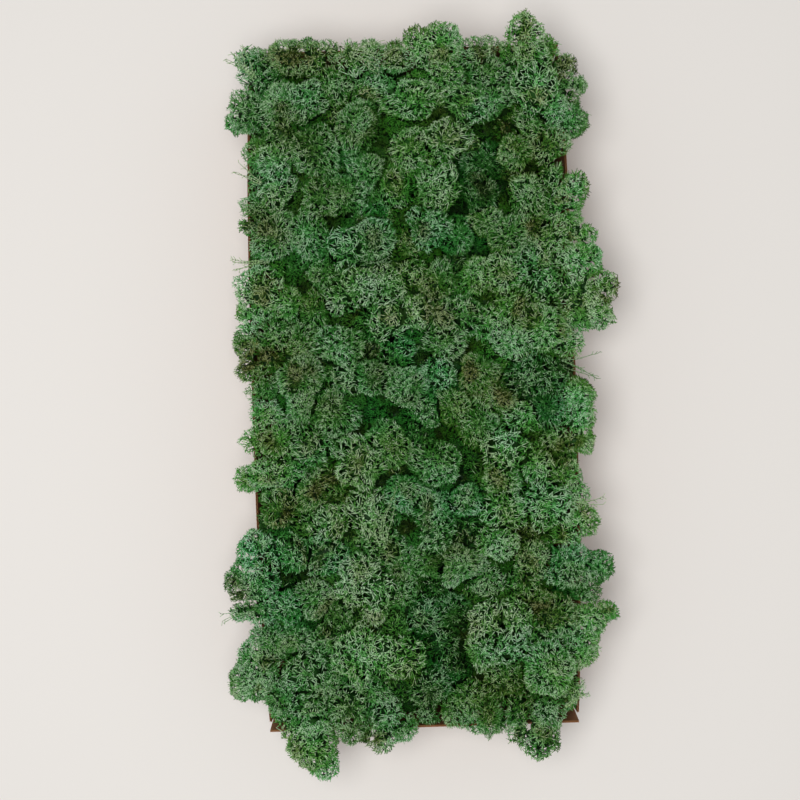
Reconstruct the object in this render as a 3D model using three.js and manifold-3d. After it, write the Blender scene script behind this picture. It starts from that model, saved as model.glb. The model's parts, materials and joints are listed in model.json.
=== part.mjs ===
// A tray of preserved reindeer moss: many clumps of moss stand packed side by side in a low tray of
// folded corrugated board, and the outer ones spill over its rim. Millimetres, +Z up, with the origin
// at the middle of the tray's underside. The tray's length runs along Y.
import * as THREE from "three";
import { mergeVertices } from "three/addons/utils/BufferGeometryUtils.js";
import Module from "manifold-3d";

const wasm = await Module();
wasm.setup();

// Driving dimensions, in millimetres.
const TRAY_LENGTH = 567;
const TRAY_WIDTH = 264;
const TRAY_HEIGHT = 100;
const BOARD = 1.6; // E-flute board
const SIDE_BOW = 6.5; // how far the long walls bulge at mid-length of the rim
const END_LEAN = 6.5; // how far the end walls lean out at the rim
const CORNER_SLIT = 0.4; // between a long wall's end and the end wall's inner face at the fold
const CLEARANCE = 0.32; // between pieces that touch
const HEAD_HEIGHT = 0.9; // a head's height above its widest level, over its radius
const STEM_SPREAD = 1.6; // widest radius of the stems under a head, over the head's radius
const STEM_DEPTH = 0.45; // how far below a head's widest level its stems begin, over its radius
const HEAD_SIDES = 7;
const STEM_SIDES = 6;
const WALL_STEPS = 6;

// Colours of the moss and the board, for this model's own plain materials.
const TONES = {
  green: 0x487f4c,
  light: 0x66a06a,
  sage: 0x8db588,
  teal: 0x3c8c64,
  olive: 0x566b33,
  dark: 0x27552f,
};
const KRAFT = 0x966e4b;

// Each clump of moss: its tone, then its heads as [x, y, radius, height of the crown over the rim].
const CLUMPS = [
  ["green", [-126, 267, 14, 20], [-132, 240, 18, 26], [-144, 230, 10, 16]],
  ["olive", [-96, 283, 15, 28], [-73, 280, 14, 28], [-61, 253, 16, 34], [-63, 230, 13, 26]],
  ["sage", [-43, 276, 14, 34], [-28, 282, 13, 28], [-34, 254, 13, 24], [-7, 277, 15, 28],
    [-16, 253, 14, 22]],
  ["light", [15, 290, 15, 30], [32, 289, 17, 34], [34, 265, 14, 27]],
  ["green", [59, 281, 14, 28], [73, 262, 14, 26], [75, 240, 14, 30]],
  ["light", [104, 297, 16, 28], [108, 275, 15, 36], [109, 248, 18, 42], [122, 232, 14, 36]],
  ["green", [132, 255, 12, 22], [147, 253, 8, 16], [135, 238, 10, 18], [139, 221, 15, 28],
    [151, 216, 9, 18]],
  ["green", [-104, 244, 15, 36], [-82, 243, 15, 40], [-105, 220, 14, 30]],
  ["sage", [-124, 201, 14, 26], [-110, 192, 15, 36], [-110, 171, 14, 30]],
  ["green", [-76, 200, 18, 42], [-73, 163, 15, 34], [-53, 164, 17, 34], [-41, 221, 18, 40],
    [-37, 184, 14, 30]],
  ["light", [5, 241, 17, 36], [3, 203, 16, 26], [-10, 168, 15, 25]],
  ["sage", [52, 236, 15, 36], [34, 208, 16, 34], [25, 167, 17, 38]],
  ["dark", [68, 189, 17, 22], [61, 161, 15, 24]],
  ["olive", [107, 215, 13, 34], [122, 200, 15, 36], [121, 178, 13, 28]],
  ["olive", [91, 196, 14, 36], [100, 161, 16, 34], [83, 125, 15, 34], [101, 134, 13, 28],
    [66, 139, 13, 25]],
  ["light", [142, 165, 13, 20], [128, 151, 12, 20], [135, 138, 12, 22], [146, 126, 12, 18],
    [118, 125, 15, 25], [147, 106, 14, 26]],
  ["green", [-127, 155, 14, 22], [-114, 131, 17, 32], [-138, 142, 8, 16], [-86, 133, 16, 32],
    [-72, 101, 14, 27]],
  ["teal", [-53, 119, 15, 40], [-30, 124, 15, 42]],
  ["olive", [-4, 123, 15, 28], [2, 95, 14, 28], [22, 89, 14, 32]],
  ["teal", [17, 134, 16, 40], [40, 128, 14, 23]],
  ["light", [80, 93, 15, 36], [57, 93, 15, 27], [84, 67, 15, 32], [85, 35, 14, 32], [64, 54, 14, 28]],
  ["sage", [112, 85, 15, 30], [107, 105, 13, 28], [135, 82, 14, 26], [150, 76, 12, 20],
    [165, 82, 12, 18], [158, 59, 13, 20], [139, 55, 13, 24]],
  ["light", [-127, 85, 21, 34], [-137, 67, 12, 22], [-106, 75, 13, 28]],
  ["olive", [-116, 48, 14, 26], [-95, 41, 14, 26], [-83, 67, 14, 25], [-141, 43, 12, 20],
    [-122, 27, 13, 25], [-136, 21, 14, 24], [-127, 2, 13, 26]],
  ["sage", [-43, 88, 15, 36], [-60, 78, 13, 26], [-19, 89, 14, 30], [-19, 58, 16, 34],
    [4, 64, 14, 34]],
  ["green", [-60, 36, 17, 36], [-56, 10, 14, 27]],
  ["green", [-95, 11, 17, 36], [-95, -12, 13, 32], [-69, -20, 17, 36], [-88, -46, 15, 34]],
  ["teal", [-34, 11, 14, 34], [-7, 1, 17, 40], [-13, 29, 14, 28], [21, 10, 14, 34],
    [10, -17, 14, 32]],
  ["green", [44, 61, 15, 34], [23, 59, 14, 34], [28, 35, 14, 30]],
  ["light", [109, 46, 18, 38], [131, 35, 14, 24]],
  ["dark", [96, 7, 18, 32], [117, 5, 14, 26], [111, -22, 14, 30]],
  ["olive", [53, 10, 15, 34], [33, -18, 14, 38], [52, -32, 18, 40], [71, -12, 13, 32]],
  ["light", [138, -9, 14, 26], [138, -31, 14, 28], [139, -48, 12, 24]],
  ["light", [-127, -18, 13, 30], [-134, -40, 13, 22], [-115, -40, 14, 28], [-144, -74, 10, 16],
    [-128, -69, 15, 28], [-109, -66, 13, 26]],
  ["light", [75, -53, 18, 42], [90, -27, 14, 32], [101, -66, 14, 34], [73, -106, 17, 38],
    [66, -131, 15, 38], [70, -80, 14, 32]],
  ["green", [19, -65, 18, 38]],
  ["sage", [-47, -62, 19, 42], [-24, -47, 17, 34]],
  ["light", [121, -77, 14, 30], [133, -92, 13, 24], [118, -49, 13, 24], [109, -101, 18, 38],
    [138, -115, 14, 26], [125, -128, 14, 28]],
  ["olive", [-115, -98, 16, 26], [-89, -85, 15, 27], [-70, -74, 13, 28]],
  ["sage", [-71, -111, 15, 32], [-41, -104, 18, 34]],
  ["teal", [-11, -88, 15, 36], [13, -104, 17, 38], [16, -124, 14, 38], [41, -96, 15, 34]],
  ["teal", [-141, -131, 14, 22], [-125, -139, 13, 25], [-154, -158, 12, 16], [-137, -160, 14, 26],
    [-135, -184, 14, 24], [-112, -181, 14, 28], [-153, -185, 9, 16]],
  ["teal", [-105, -137, 15, 34], [-79, -138, 16, 34]],
  ["sage", [-51, -153, 14, 36], [-60, -169, 12, 34], [-37, -167, 14, 38], [-39, -185, 12, 34]],
  ["green", [-31, -133, 15, 32], [-13, -151, 13, 24], [-17, -174, 13, 26], [34, -150, 16, 36],
    [9, -146, 14, 28]],
  ["olive", [95, -147, 15, 30], [86, -169, 14, 28], [56, -163, 14, 28], [100, -185, 12, 26],
    [112, -199, 17, 30]],
  ["teal", [126, -153, 21, 34], [150, -157, 15, 20]],
  ["green", [-89, -175, 15, 30], [-69, -188, 13, 28], [-79, -209, 13, 28], [-130, -210, 17, 22],
    [-108, -210, 14, 22], [-146, -223, 12, 20]],
  ["dark", [25, -191, 15, 26], [2, -192, 14, 26], [15, -218, 15, 20], [6, -253, 15, 26],
    [3, -275, 13, 14], [26, -242, 15, 18]],
  ["sage", [55, -197, 15, 38], [79, -196, 14, 38], [51, -222, 14, 34], [74, -219, 14, 36]],
  ["light", [144, -201, 13, 20], [159, -196, 9, 14], [139, -214, 11, 18], [135, -228, 13, 20],
    [106, -241, 20, 40], [127, -260, 11, 20]],
  ["light", [-54, -222, 19, 40], [-34, -223, 17, 40], [-16, -227, 15, 38]],
  ["green", [-147, -245, 17, 22], [-131, -233, 14, 24], [-118, -257, 15, 26], [-100, -238, 18, 30],
    [-98, -265, 14, 28], [-79, -245, 14, 26]],
  ["green", [-64, -266, 17, 30], [-63, -288, 13, 22], [-42, -256, 14, 26], [-31, -275, 15, 28],
    [-37, -295, 13, 16], [-18, -288, 13, 20]],
  ["light", [-97, -299, 20, 26], [-88, -316, 13, 14], [-111, -281, 14, 24]],
  ["olive", [39, -264, 15, 25], [24, -275, 11, 16], [54, -280, 14, 24], [67, -246, 16, 28],
    [80, -274, 14, 20]],
  ["green", [98, -300, 18, 22], [106, -276, 14, 26], [82, -294, 10, 18]],
];

// A closed three.js geometry as a solid for cutting and joining.
function solid(geometry) {
  geometry.deleteAttribute("normal");
  geometry.deleteAttribute("uv");
  const merged = mergeVertices(geometry);
  return new wasm.Manifold(
    new wasm.Mesh({
      numProp: 3,
      vertProperties: merged.attributes.position.array,
      triVerts: new Uint32Array(merged.index.array),
    }),
  );
}

function meshOf(name, made, colour) {
  const { vertProperties, triVerts } = made.getMesh();
  const geometry = new THREE.BufferGeometry();
  geometry.setAttribute("position", new THREE.BufferAttribute(vertProperties, 3));
  geometry.setIndex(new THREE.BufferAttribute(triVerts, 1));
  geometry.computeVertexNormals();
  const material = new THREE.MeshStandardMaterial({ color: colour, roughness: 0.9, metalness: 0 });
  const mesh = new THREE.Mesh(geometry, material);
  mesh.name = name;
  return mesh;
}

function union(solids) {
  return solids.reduce((joined, next) => joined.add(next));
}

// ---- tray ----

// One wall, grown by grow on every side. across is the distance from the tray's middle to the wall's
// outer face at the fold, and outward(share of half the length, share of the height) how far it gives.
function wall(length, across, outward, grow) {
  const thickness = BOARD + 2 * grow;
  const geometry = new THREE.BoxGeometry(
    length + 2 * grow, thickness, TRAY_HEIGHT + 2 * grow, WALL_STEPS,
  );
  const place = geometry.attributes.position;
  for (let i = 0; i < place.count; i++) {
    const up = place.getZ(i) + TRAY_HEIGHT / 2;
    const along = place.getX(i) / (length / 2);
    const rise = THREE.MathUtils.clamp(up / TRAY_HEIGHT, 0, 1);
    place.setXYZ(i, place.getX(i), place.getY(i) + across - BOARD / 2 + outward(along, rise), up);
  }
  return geometry;
}

const bow = (along, rise) => SIDE_BOW * Math.max(0, 1 - along ** 2) * rise;
const lean = (along, rise) => END_LEAN * rise;

// The four walls, turned about Z from +Y to their sides.
function walls(grow) {
  const sideLength = TRAY_LENGTH - 2 * (BOARD + CORNER_SLIT);
  return [0, 1, 2, 3].map((quarter) => {
    const isEnd = quarter % 2 === 0;
    const geometry = isEnd
      ? wall(TRAY_WIDTH, TRAY_LENGTH / 2, lean, grow)
      : wall(sideLength, TRAY_WIDTH / 2, bow, grow);
    return solid(geometry.rotateZ((quarter * Math.PI) / 2));
  });
}

function boardTray() {
  const base = new THREE.BoxGeometry(TRAY_WIDTH, TRAY_LENGTH, BOARD).translate(0, 0, BOARD / 2);
  return union([solid(base), ...walls(0)]);
}

// ---- moss ----

const clumps = CLUMPS.map(([tone, ...rows]) => ({
  tone,
  heads: rows.map(([x, y, radius, crown]) => {
    const widest = TRAY_HEIGHT + crown - radius * HEAD_HEIGHT;
    return { middle: new THREE.Vector2(x, y), radius, widest };
  }),
}));

// The lines between a head and others, each as its outward direction and how far out it lies. The
// larger of two heads takes more of the ground between them.
function linesBetween(head, others, gap) {
  return others.map((other) => {
    const outward = other.middle.clone().sub(head.middle);
    const apart = outward.length();
    const share = (apart ** 2 + head.radius ** 2 - other.radius ** 2) / (2 * apart);
    outward.normalize();
    return { outward, far: outward.dot(head.middle) + share - gap };
  });
}

// The part of a convex outline that lies on the inner side of a line.
function cutOutline(outline, { outward, far }) {
  return outline.flatMap((a, i) => {
    const b = outline[(i + 1) % outline.length];
    const da = a.dot(outward) - far;
    const db = b.dot(outward) - far;
    const kept = da <= 0 ? [a] : [];
    return da * db < 0 ? [...kept, a.clone().lerp(b, da / (da - db))] : kept;
  });
}

// A dome on a round underside, pressed flat where it meets its neighbours.
function domeOf(head, lines) {
  const geometry = new THREE.SphereGeometry(1, HEAD_SIDES, 4).rotateX(Math.PI / 2);
  const place = geometry.attributes.position;
  for (let i = 0; i < place.count; i++) {
    const aim = new THREE.Vector2(place.getX(i), place.getY(i)).normalize();
    const reach = lines.reduce((least, { outward, far }) => {
      const facing = outward.dot(aim);
      const room = far - outward.dot(head.middle);
      return facing > 0 ? Math.min(least, room / facing) : least;
    }, head.radius);
    place.setXYZ(
      i,
      head.middle.x + reach * place.getX(i),
      head.middle.y + reach * place.getY(i),
      head.widest + head.radius * HEAD_HEIGHT * place.getZ(i),
    );
  }
  return solid(geometry);
}

// The sheaf of stems under a head, which stands on the tray's bottom and fills its share of the ground.
function stemsOf(head, lines) {
  const around = Array.from({ length: STEM_SIDES }, (_, i) =>
    new THREE.Vector2(head.radius * STEM_SPREAD, 0)
      .rotateAround(new THREE.Vector2(), (i * 2 * Math.PI) / STEM_SIDES)
      .add(head.middle),
  );
  const outline = lines.reduce(cutOutline, around);
  if (outline.length < 3) return [];
  const bottom = BOARD + CLEARANCE;
  const depth = head.widest - head.radius * STEM_DEPTH - bottom;
  const geometry = new THREE.ExtrudeGeometry(new THREE.Shape(outline), { depth, bevelEnabled: false });
  return [solid(geometry.translate(0, 0, bottom))];
}

const trayLines = [0, 1, 2, 3].map((quarter) => {
  const half = quarter % 2 === 0 ? TRAY_WIDTH / 2 : TRAY_LENGTH / 2;
  const outward = new THREE.Vector2(1, 0).rotateAround(new THREE.Vector2(), (quarter * Math.PI) / 2);
  return { outward, far: half - BOARD - CLEARANCE };
});

// The largest body, without the sealed voids and crumbs that the cuts leave.
function soundBody(made) {
  return made.decompose().reduce((most, body) => (body.volume() > most.volume() ? body : most));
}

function mossClump(clump, keepOut) {
  const others = clumps.filter((other) => other !== clump).flatMap((other) => other.heads);
  const pieces = clump.heads.flatMap((head) => {
    const outer = linesBetween(head, others, CLEARANCE / 2);
    const stems = stemsOf(head, [...outer, ...trayLines]);
    const leansOut = trayLines.some(({ outward, far }) => outward.dot(head.middle) > far);
    if (leansOut) return [domeOf(head, outer)];
    const siblings = clump.heads.filter((other) => other !== head);
    return [domeOf(head, [...outer, ...linesBetween(head, siblings, 0)]), ...stems];
  });
  return soundBody(union(pieces).subtract(keepOut));
}

const tray = new THREE.Group();
tray.add(meshOf("board_tray", boardTray(), KRAFT));

const moss = new THREE.Group();
const keepOut = union(walls(CLEARANCE));
clumps.forEach((clump, i) => {
  const name = `moss_clump_${String(i + 1).padStart(2, "0")}`;
  moss.add(meshOf(name, mossClump(clump, keepOut), TONES[clump.tone]));
});

const part = new THREE.Group();
part.add(tray, moss);

export default part;
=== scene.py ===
"""A tray of preserved reindeer moss: clumps of fine branching twigs packed in a tray of corrugated board.

Each moss clump of the frame is grown again as twigs: its heads are read from its CAD solid, and each is
covered with tips that fork together inwards, level by level, down to the head's root. The tray is made
again with the liners and flutes of its board. Lengths are in millimetres until they go into a mesh.
"""

import json
import math

import bmesh
import bpy
import numpy as np
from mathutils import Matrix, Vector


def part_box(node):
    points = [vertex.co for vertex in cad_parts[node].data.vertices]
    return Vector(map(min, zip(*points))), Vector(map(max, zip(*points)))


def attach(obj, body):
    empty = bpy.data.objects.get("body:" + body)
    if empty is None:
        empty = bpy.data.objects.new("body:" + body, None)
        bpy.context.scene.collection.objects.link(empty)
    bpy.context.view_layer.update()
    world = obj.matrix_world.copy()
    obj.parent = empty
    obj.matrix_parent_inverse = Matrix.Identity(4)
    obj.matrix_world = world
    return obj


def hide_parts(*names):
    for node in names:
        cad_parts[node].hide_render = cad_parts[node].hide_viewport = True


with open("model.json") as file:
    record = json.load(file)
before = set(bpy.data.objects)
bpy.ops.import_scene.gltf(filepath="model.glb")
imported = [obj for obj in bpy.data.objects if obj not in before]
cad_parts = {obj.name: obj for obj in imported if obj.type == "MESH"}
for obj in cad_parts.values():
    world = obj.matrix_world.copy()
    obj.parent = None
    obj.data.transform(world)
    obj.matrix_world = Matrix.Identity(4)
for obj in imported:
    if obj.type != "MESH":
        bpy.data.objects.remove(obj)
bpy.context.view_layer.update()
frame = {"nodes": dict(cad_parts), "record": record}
slot_of = {part["node"]: part["material_slot"] for part in frame["record"]["subparts"]}

MM = 0.001
SEED = 7

# The tray, as its CAD solid gives it. Its long walls bulge outwards and its end walls lean outwards.
TRAY_TOP = np.array(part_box("board_tray")[1]) / MM
RIM = TRAY_TOP[2]
BOARD = 1.6
SIDE_GIVE = 6.5  # how far the walls' rims stand outside their folds
OUTER_HALF = TRAY_TOP[:2] - SIDE_GIVE
INNER_HALF = OUTER_HALF - BOARD


def side_give(along):
    """How far the rims of a long wall and of an end wall stand out, at a distance along the tray."""
    bulge = 1 - np.clip(np.abs(along) / OUTER_HALF[1], 0, 1) ** 3
    return SIDE_GIVE * np.stack([bulge, np.ones_like(bulge)], axis=-1)


def past_walls(points):
    """How far points are past the inner faces of the long and end walls at their height."""
    rise = np.clip(points[:, 2:] / RIM, 0, 1)
    return np.abs(points[:, :2]) - INNER_HALF - rise * side_give(points[:, 1])


def colour(hex_code):
    """An sRGB hex colour as linear RGBA."""
    parts = [int(hex_code[i : i + 2], 16) / 255 for i in (1, 3, 5)]
    return [p / 12.92 if p <= 0.04045 else ((p + 0.055) / 1.055) ** 2.4 for p in parts] + [1]


def add_node(tree, kind, settings=None, links=None):
    """Adds a node. settings sets its properties and the values of its inputs, links joins its inputs."""
    node = tree.nodes.new(kind)
    for key, value in (settings or {}).items():
        if isinstance(key, int) or key in node.inputs:
            node.inputs[key].default_value = value
        else:
            setattr(node, key, value)
    for key, source in (links or {}).items():
        tree.links.new(node.inputs[key], source)
    return node


def add_ramp(tree, factor, stops):
    """A colour ramp with stops of (position, hex colour), and its colour."""
    node = add_node(tree, "ShaderNodeValToRGB", links={"Fac": factor})
    elements = node.color_ramp.elements
    elements.remove(elements[1])
    for i, (position, hex_code) in enumerate(stops):
        element = elements[0] if i == 0 else elements.new(position)
        element.position = position
        element.color = colour(hex_code)
    return node.outputs["Color"]


def new_material(name, roughness, specular):
    """A new material, its node tree and its shader."""
    material = bpy.data.materials.new(name)
    material.use_nodes = True
    shader = material.node_tree.nodes["Principled BSDF"]
    shader.inputs["Roughness"].default_value = roughness
    shader.inputs["Specular IOR Level"].default_value = specular
    return material, material.node_tree, shader


# ---- materials ----

# Where the colours of the moss stand along a branch, from deep inside a head, dark with painted shade, to
# its end.
REACH_STOPS = (0.15, 0.53, 0.8, 1.0)

# The dye lots: colours at the reach stops, cool and fresh first, then as most of it is, then where the
# dye has dried out to olive and brown. A branch is palest just below its ends, which are darker, and
# darkens inwards as painted shade.
MOSS_DYES_AND_DEPTH_SHADE = {
    "moss_green": (
        ("#0a2e0e", "#3b7c44", "#aee2b0", "#a0d2a0"),
        ("#0c2e08", "#427a38", "#b2e0a6", "#92ba7a"),
        ("#12240a", "#48692b", "#a0bb7a", "#738046"),
    ),
    "moss_light": (
        ("#0e3410", "#3f7e44", "#b4e8b4", "#a8daa6"),
        ("#10340a", "#468038", "#b8e6a8", "#9ec680"),
        ("#16280a", "#4e712d", "#aac47e", "#7e8d4c"),
    ),
    "moss_sage": (
        ("#123814", "#46864b", "#b4e1b4", "#aad7aa"),
        ("#143810", "#4d8643", "#badfaa", "#a8cd8f"),
        ("#182e0c", "#537434", "#acc288", "#879358"),
    ),
    "moss_teal": (
        ("#0a2f10", "#347a48", "#a1dead", "#95d29f"),
        ("#0c2f0a", "#3a793f", "#a7dca3", "#91c084"),
        ("#10250c", "#3e682e", "#95b77c", "#6c8146"),
    ),
    "moss_olive": (
        ("#0a2e0a", "#3b783a", "#a6dca0", "#94c288"),
        ("#0c2e08", "#427830", "#a8dc94", "#90a862"),
        ("#12240a", "#486425", "#9cae6a", "#70743a"),
    ),
    "moss_dark": (
        ("#04260a", "#286a3c", "#8ecc96", "#82c088"),
        ("#062606", "#2e6a32", "#92ca8a", "#80a668"),
        ("#0c1f06", "#365a24", "#7e9c62", "#5c7038"),
    ),
}

SHADE_ROWS = 8  # of the map, from the deepest shade to full light
INSIDE_ROW = 6  # for what lies inside the heads, whose colour is already dark with painted shade
DARKEST, LIGHTEST = 0.3, 1.15  # the light in those rows, over that on open moss
DEEPEST_SHADE, FULL_LIGHT = 3.0, 0.75  # as powers of the colour, which is deeper too in the shade
FRESH, HALF_DRIED, DRIED = 0.1, 0.5, 0.9  # how far up a row the three dyes stand, clear of its edges

# Kraft paper: the width and length of its fibres, which are drawn coarser than they are, so that they
# show, and of its mottling, how finely both go on inside that, the pitch of the flutes below it, and the
# depth and strength of the ridges that those make.
FIBRE_WIDTH, FIBRE_LENGTH, FIBRE_DETAIL = 0.6, 4, 3
MOTTLE_WIDTH, MOTTLE_DETAIL = 14, 4
PITCH = 3.1
RIDGE_DEPTH, RIDGE_STRENGTH = 0.1, 0.5
KRAFT_STOPS = [(0.3, "#7d5233"), (0.5, "#8f6340"), (0.7, "#a1744f")]


def moss_material(name):
    """Preserved reindeer moss: lichen soaked in glycerine and dyed, so it is soft, with a dull sheen. It
    is drawn deep green inside the heads, which is painted shade. Its map holds, across, how far out along
    its branch a twig is, and upwards rows for how shaded it lies, with how dried it is inside each row."""
    material, tree, shader = new_material(name, roughness=0.6, specular=0.15)
    place = add_node(tree, "ShaderNodeUVMap", {"uv_map": "OFBake"})
    split = add_node(tree, "ShaderNodeSeparateXYZ", links={"Vector": place.outputs["UV"]})
    rows = add_node(
        tree, "ShaderNodeMath", {"operation": "MULTIPLY", 1: SHADE_ROWS}, {0: split.outputs["Y"]}
    )
    row = add_node(tree, "ShaderNodeMath", {"operation": "FLOOR"}, {0: rows.outputs["Value"]})
    dryness = add_node(tree, "ShaderNodeMath", {"operation": "FRACT"}, {0: rows.outputs["Value"]})
    cool, usual, dried = [
        add_ramp(tree, split.outputs["X"], list(zip(REACH_STOPS, colours))) for colours in MOSS_DYES_AND_DEPTH_SHADE[name]
    ]
    dye_and_shade = cool
    for low, high, drier in ((FRESH, HALF_DRIED, usual), (HALF_DRIED, DRIED, dried)):
        share = add_node(
            tree,
            "ShaderNodeMapRange",
            {"From Min": low, "From Max": high},
            {"Value": dryness.outputs["Value"]},
        )
        mix = add_node(
            tree, "ShaderNodeMix", {"data_type": "RGBA"}, {0: share.outputs["Result"], 6: dye_and_shade, 7: drier}
        )
        dye_and_shade = mix.outputs[2]
    power = add_node(
        tree,
        "ShaderNodeMapRange",
        {"From Max": SHADE_ROWS - 1, "To Min": DEEPEST_SHADE, "To Max": FULL_LIGHT},
        {"Value": row.outputs["Value"]},
    )
    shaded = add_node(tree, "ShaderNodeGamma", links={"Color": dye_and_shade, "Gamma": power.outputs["Result"]})
    tree.links.new(shader.inputs["Base Color"], shaded.outputs["Color"])
    return material


def kraft_board():
    """Kraft paper on corrugated board: unbleached, so it is brown and mottled, rolled, so its fibres run
    along the sheet, and matt. The flutes below it show as faint ridges."""
    material, tree, shader = new_material("kraft_board", roughness=0.85, specular=0.2)
    place = add_node(tree, "ShaderNodeTexCoord").outputs["Object"]
    fibre_run = add_node(
        tree, "ShaderNodeMapping", {"Scale": (1, FIBRE_WIDTH / FIBRE_LENGTH, 1)}, {"Vector": place}
    )
    fibres = add_node(
        tree,
        "ShaderNodeTexNoise",
        {"Scale": 1 / (FIBRE_WIDTH * MM), "Detail": FIBRE_DETAIL},
        {"Vector": fibre_run.outputs["Vector"]},
    ).outputs["Fac"]
    mottle = add_node(
        tree,
        "ShaderNodeTexNoise",
        {"Scale": 1 / (MOTTLE_WIDTH * MM), "Detail": MOTTLE_DETAIL},
        {"Vector": place},
    ).outputs["Fac"]
    both = add_node(tree, "ShaderNodeMath", {"operation": "ADD"}, {0: fibres, 1: mottle})
    mean = add_node(tree, "ShaderNodeMath", {"operation": "MULTIPLY", 1: 0.5}, {0: both.outputs["Value"]})
    tint = add_ramp(tree, mean.outputs["Value"], KRAFT_STOPS)
    tree.links.new(shader.inputs["Base Color"], tint)

    # The ridges follow each other along the tray, but up its end walls.
    axes = add_node(tree, "ShaderNodeSeparateXYZ", links={"Vector": place}).outputs
    far = add_node(tree, "ShaderNodeMath", {"operation": "ABSOLUTE"}, {0: axes["Y"]})
    is_end = add_node(
        tree,
        "ShaderNodeMath",
        {"operation": "GREATER_THAN", 1: INNER_HALF[1] * MM},
        {0: far.outputs["Value"]},
    )
    run = add_node(
        tree, "ShaderNodeMix", links={"Factor": is_end.outputs["Value"], "A": axes["Y"], "B": axes["Z"]}
    )
    turns = add_node(
        tree,
        "ShaderNodeMath",
        {"operation": "MULTIPLY", 1: 2 * math.pi / (PITCH * MM)},
        {0: run.outputs["Result"]},
    )
    ridges = add_node(tree, "ShaderNodeMath", {"operation": "SINE"}, {0: turns.outputs["Value"]})
    height = add_node(
        tree, "ShaderNodeMath", {"operation": "ADD"}, {0: ridges.outputs["Value"], 1: fibres}
    )
    bump = add_node(
        tree,
        "ShaderNodeBump",
        {"Strength": RIDGE_STRENGTH, "Distance": RIDGE_DEPTH * MM},
        {"Height": height.outputs["Value"]},
    )
    tree.links.new(shader.inputs["Normal"], bump.outputs["Normal"])
    return material


# ---- moss: where its heads are ----

# How the CAD solids draw a head: a dome with its first ring of vertices 45 degrees below the crown,
# HEAD_HEIGHT times as high over its widest level as it is wide there.
HEAD_HEIGHT = 0.9
RING_DROP = HEAD_HEIGHT * (1 - math.cos(math.pi / 4))
LOWEST_CROWN = 11  # over the rim; lower peaks are edges of the stems
CROWN_EDGES = 5  # the fewest that meet at a crown
SAME_PLACE = 0.01  # vertices nearer than this are one

HEAD_SWELL = 1.17  # a grown head's radius over its CAD dome's
OUTLINE_SWELL = 1.04  # the same where a head reaches the rim
RIM_REACH = 1.1  # how near the rim the middle of such a head is, over its radius
LEANING = -3  # a head leans out over a wall if its middle is further past the wall than this

# The necks: how far inside the walls they end, their distance and size over their head's radius, and how
# far below its crown they begin and how much further they sink.
NECK_INSET = 6
NECK_STEP, NECK_SIZE = 0.55, 0.85
NECK_DROP, NECK_FALL = 1, 2

# The bridges: their size over the smaller neighbour's radius, the least distance of the neighbours, over
# that size, and the most, in millimetres, and how far below the lower crown they lie.
BRIDGE_SIZE = 0.8
BRIDGE_LEAST, BRIDGE_MOST = 1.1, 34
BRIDGE_DROP = 3

# The small heads: the grid that their middles are on, how far those keep off the walls' inner faces and
# how much of the other heads' radii, the smallest gap that gets one, which is also how much wider it is
# than its gap, the limits of their radii, and how far they lie below the mean of how many crowns.
SMALL_GRID = 3.0
WALL_GAP = 5
KEPT_OFF = 0.8
SMALLEST_GAP = 3.5
SMALL_RADII = (8, 13)
SMALL_DROPS = (11, 22)
CROWNS_AROUND = 3
RIM_RISE = 6  # how far over the rim those along the walls can stand
HOLLOW_REACH, HOLLOW_DROP = 12, 11  # how far a hollow reaches, and how much lower they lie in it

# The hollows between heads, where the moss lies deep, as (x, y).
HOLLOWS = [
    (-98, 216), (-104, 160), (-70, 138), (52, 188), (58, 110), (34, 2), (24, -48), (-57, -39),
    (89, -86), (-59, -146), (-88, -200), (6, -268), (-24, -160), (82, -262), (-72, 63), (-32, -25),
    (-5, -216), (99, 88),
]

# Tufts that stand out beyond the CAD solids or fill their gaps along the end walls, as (x, y, radius,
# height over the rim, openness).
EXTRA_TUFTS = [
    (-133, 283, 11, 15, 1.7), (-119, 281, 12, 17, 1), (-106, 286, 11, 20, 0.9), (-94, 288, 10, 18, 1),
    (-79, 289, 11, 18, 1), (-62, 287, 10, 15, 1), (-45, 286, 11, 17, 1.5), (-28, 288, 10, 14, 1),
    (-7, 286, 11, 16, 1), (73, 284, 10, 16, 1), (88, 281, 11, 16, 1), (104, 307, 9, 24, 1.2),
    (120, 284, 12, 20, 0.9), (136, 270, 10, 15, 1), (-124, -275, 10, 8, 1), (124, -271, 10, 4, 1),
    (-128, -262, 9, 14, 1), (-126, 279, 12, 11, 0.85), (38, -285, 9, 7, 1), (50, -287, 10, 9, 1),
    (64, -287, 10, 10, 1.1), (77, -286, 10, 12, 1), (140, -176, 12, 11, 1), (-113, 273, 12, 10, 0.9),
    (-98, 276, 12, 13, 0.9), (-83, 277, 12, 12, 0.9),
]

# Places where the moss is lighter and more open, or darker, as (x, y, how much), and their radius.
TONE_PLACES = [
    (-42, -166, 0.22), (64, -203, 0.14), (106, -241, 0.16), (110, 255, 0.18), (104, 296, 0.2),
    (-45, -222, 0.14), (75, -53, 0.12), (10, -110, 0.1), (-35, 278, 0.14), (62, -110, 0.16),
    (-114, 269, 0.1), (-119, 89, 0.14), (-123, -28, 0.1), (-50, -72, 0.12), (108, -98, 0.12),
    (-21, 181, -0.16), (63, 179, -0.18), (-78, 67, -0.18), (-78, 38, -0.14), (-26, 33, -0.16),
    (25, -53, -0.16), (110, -24, -0.18), (105, 5, -0.12), (-11, -201, -0.16), (29, -233, -0.18),
    (82, -267, -0.16), (104, -303, -0.14),
]
TONE_PLACE_REACH = 17

# The places on the outline where the ends of the moss are dried brown, as (x, y).
BROWN_ENDS = [
    (166, 84), (175, 80), (153, -144), (166, -148), (152, 172), (64, 293), (105, 314),
    (-153, 37), (-100, 290), (132, 272),
]
BROWN_REACH = 13  # how near a head's middle has to be to one

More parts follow.
